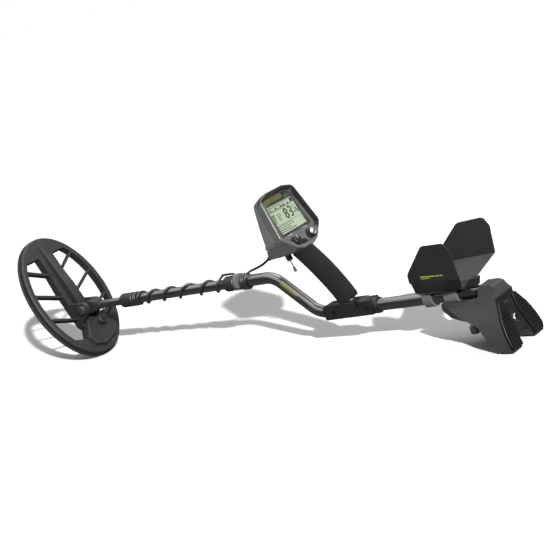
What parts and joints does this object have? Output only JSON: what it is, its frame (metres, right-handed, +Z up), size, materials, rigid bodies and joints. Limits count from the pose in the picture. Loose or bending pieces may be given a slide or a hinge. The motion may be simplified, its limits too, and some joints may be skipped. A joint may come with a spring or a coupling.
{
  "type": "metal detector",
  "caption": "Collapsible metal detector: open oval search coil on a telescoping S-bent stem, tilted display on a foam grip, folded arm cup, and a battery housing on splayed legs.",
  "frame": {"origin": "on the floor, below the middle of the overall length and width", "axes": "+X from the search coil towards the user's elbow, +Y to the user's right, +Z up"},
  "size_m": [1.1211, 0.1954, 0.3049],
  "materials": {
    "coil_plastic": "fine matt grain",
    "skid_plastic": "worn matt",
    "copper": "enamelled wire",
    "gland_rubber": "matt",
    "cable": "semi-matt sheath",
    "pivot_nylon": "satin",
    "washer_rubber": "matt",
    "rod_plastic": "satin",
    "rod_black": "gloss black",
    "collar_plastic": "satin",
    "collet_plastic": "natural",
    "strap_cloth": "hook-and-loop pile",
    "plug_black": "satin",
    "saddle_plastic": "satin",
    "bolt_steel": "zinc plated",
    "grip_core": "moulded",
    "foam": "open foam",
    "housing_grey": "fine texture",
    "seal_rubber": "matt",
    "window": "polished",
    "lcd": "reflective LCD",
    "board": "solder mask",
    "part_metal": "pressed",
    "knob_black": "satin",
    "knob_bright": "turned",
    "toggle_metal": "plated",
    "tip_black": "moulded",
    "cup_plastic": "fine grain",
    "plate_grey": "satin anodised",
    "bracket_black": "satin",
    "battery_plastic": "fine texture",
    "door_plastic": "ribbed",
    "cell_metal": "printed sleeve",
    "contact_metal": "plated",
    "jack_plastic": "satin",
    "foot_rubber": "matt",
    "stand_plastic": "satin"
  },
  "bodies": {
    "handle": {"upper_rod": "rod_black", "upper_collet": "collet_plastic", "stem_clamp": "saddle_plastic", "rear_tube": "rod_black", "saddle_left": "saddle_plastic", "saddle_right": "saddle_plastic", "saddle_screws": "bolt_steel", "grip_core": "grip_core", "grip_foam": "foam", "display_front": "housing_grey", "display_rear": "housing_grey", "display_seal": "seal_rubber", "display_window": "window", "lcd_panel": "lcd", "circuit_board": "board", "speaker": "part_metal", "rotary_switches": "part_metal", "toggle_switch": "toggle_metal", "toggle_nut": "toggle_metal", "cable_plug": "plug_black", "housing_screws": "bolt_steel", "upper_cable": "cable", "cable_strap": "strap_cloth", "battery_housing": "battery_plastic", "battery_cells": "cell_metal", "battery_contacts": "contact_metal", "headphone_jack": "jack_plastic", "jack_nut": "toggle_metal", "foot_pads": "foot_rubber"},
    "middle_stem": {"middle_rod": "rod_black", "lower_collet": "collet_plastic", "middle_cable": "cable"},
    "lower_stem": {"lower_rod": "rod_black", "rod_tip": "rod_plastic", "lower_cable": "cable"},
    "coil": {"coil_housing": "coil_plastic", "coil_cover": "skid_plastic", "transmit_winding": "copper", "receive_winding": "copper", "coil_gland": "gland_rubber", "coil_cable": "cable", "pivot_bolt": "pivot_nylon", "pivot_nut": "pivot_nylon", "pivot_washers": "washer_rubber"},
    "lower_lock": {"lower_lock_collar": "collar_plastic"},
    "upper_lock": {"upper_lock_collar": "collar_plastic"},
    "settings_control": {"settings_knob": "knob_black"},
    "menu_control": {"menu_knob": "knob_bright"},
    "toggle": {"toggle_lever": "toggle_metal", "toggle_tip": "tip_black"},
    "elbow_rest": {"arm_cup": "cup_plastic", "arm_cup_plate": "plate_grey", "arm_cup_bracket": "bracket_black", "arm_cup_straps": "bracket_black"},
    "left_door": {"battery_door_left": "door_plastic"},
    "right_door": {"battery_door_right": "door_plastic"},
    "latch": {"door_latch": "door_plastic"},
    "stand_screw": {"stand_knob": "stand_plastic"}
  },
  "joints": [
    {"name": "middle_rod_slide", "type": "slide", "parent": "handle", "child": "middle_stem", "axis": [0.9976, 0, 0.0698], "range_m": [-0.045, 0]},
    {"name": "lower_rod_slide", "type": "slide", "parent": "middle_stem", "child": "lower_stem", "axis": [0.9976, 0, 0.0698], "range_m": [-0.15, 0]},
    {"name": "coil_tilt", "type": "hinge", "parent": "lower_stem", "child": "coil", "pos_m": [-0.43992, 0, 0.1061], "axis": [0, 1, 0], "range_deg": [-50, 70]},
    {"name": "upper_lock_turn", "type": "hinge", "parent": "handle", "child": "upper_lock", "pos_m": [-0.04488, 0, 0.13373], "axis": [0.9976, 0, 0.0698], "range_deg": [0, 90]},
    {"name": "lower_lock_turn", "type": "hinge", "parent": "middle_stem", "child": "lower_lock", "pos_m": [-0.3242, 0, 0.1142], "axis": [0.9976, 0, 0.0698], "range_deg": [0, 90]},
    {"name": "settings_knob_turn", "type": "hinge", "parent": "handle", "child": "settings_control", "pos_m": [0.14941, -0.023, 0.21084], "axis": [0.9114, 0, 0.4115], "range_deg": [-150, 150]},
    {"name": "menu_knob_turn", "type": "hinge", "parent": "handle", "child": "menu_control", "pos_m": [0.14941, 0.023, 0.21084], "axis": [0.9114, 0, 0.4115], "continuous": true},
    {"name": "toggle_tilt", "type": "hinge", "parent": "handle", "child": "toggle", "pos_m": [0.10796, 0, 0.17563], "axis": [0, 1, 0], "range_deg": [-14, 14], "stiffness_Nm_per_rad": 0.05},
    {"name": "arm_cup_slide", "type": "slide", "parent": "handle", "child": "elbow_rest", "axis": [0.9976, 0, 0.0698], "range_m": [-0.06, 0]},
    {"name": "left_door_slide", "type": "slide", "parent": "handle", "child": "left_door", "axis": [0.3239, 0, -0.9461], "range_m": [0, 0.06]},
    {"name": "right_door_slide", "type": "slide", "parent": "handle", "child": "right_door", "axis": [0.3239, 0, -0.9461], "range_m": [0, 0.06]},
    {"name": "latch_slide", "type": "slide", "parent": "handle", "child": "latch", "axis": [0.3239, 0, -0.9461], "range_m": [0, 0.003], "stiffness_N_per_m": 400},
    {"name": "stand_screw_turn", "type": "hinge", "parent": "handle", "child": "stand_screw", "pos_m": [0.45782, 0, 0.0552], "axis": [-0.0698, 0, 0.9976], "continuous": true}
  ]
}
